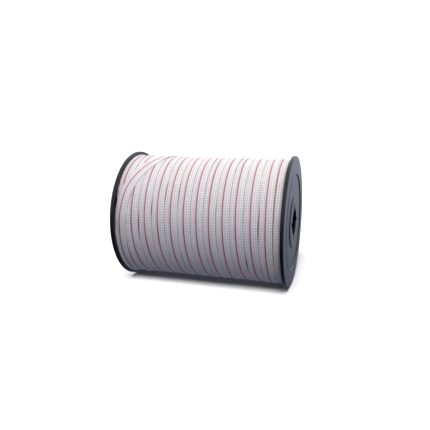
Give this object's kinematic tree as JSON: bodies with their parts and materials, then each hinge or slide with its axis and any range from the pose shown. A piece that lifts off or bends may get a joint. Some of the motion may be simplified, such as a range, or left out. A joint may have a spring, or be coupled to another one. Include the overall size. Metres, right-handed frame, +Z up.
{
  "type": "electric fence tape",
  "caption": "Flat woven electric fence tape wound flange to flange on a plastic spool, with a keyed spindle bore through its ends.",
  "frame": {"origin": "on the floor, under the middle of the spool, halfway between the flanges", "axes": "+X along the spool's axis towards the right-hand flange, +Z up"},
  "size_m": [0.166, 0.1278, 0.1279],
  "materials": {
    "flange_plastic": "moulded, satin, near black",
    "core_plastic": "extruded tube, dull",
    "woven_tape": "white woven polyethylene monofilament with fine steel wires and one red tracer thread"
  },
  "bodies": {
    "root": {"flange_right": "flange_plastic", "flange_left": "flange_plastic", "core_tube": "core_plastic", "fence_tape": "woven_tape"}
  },
  "joints": []
}
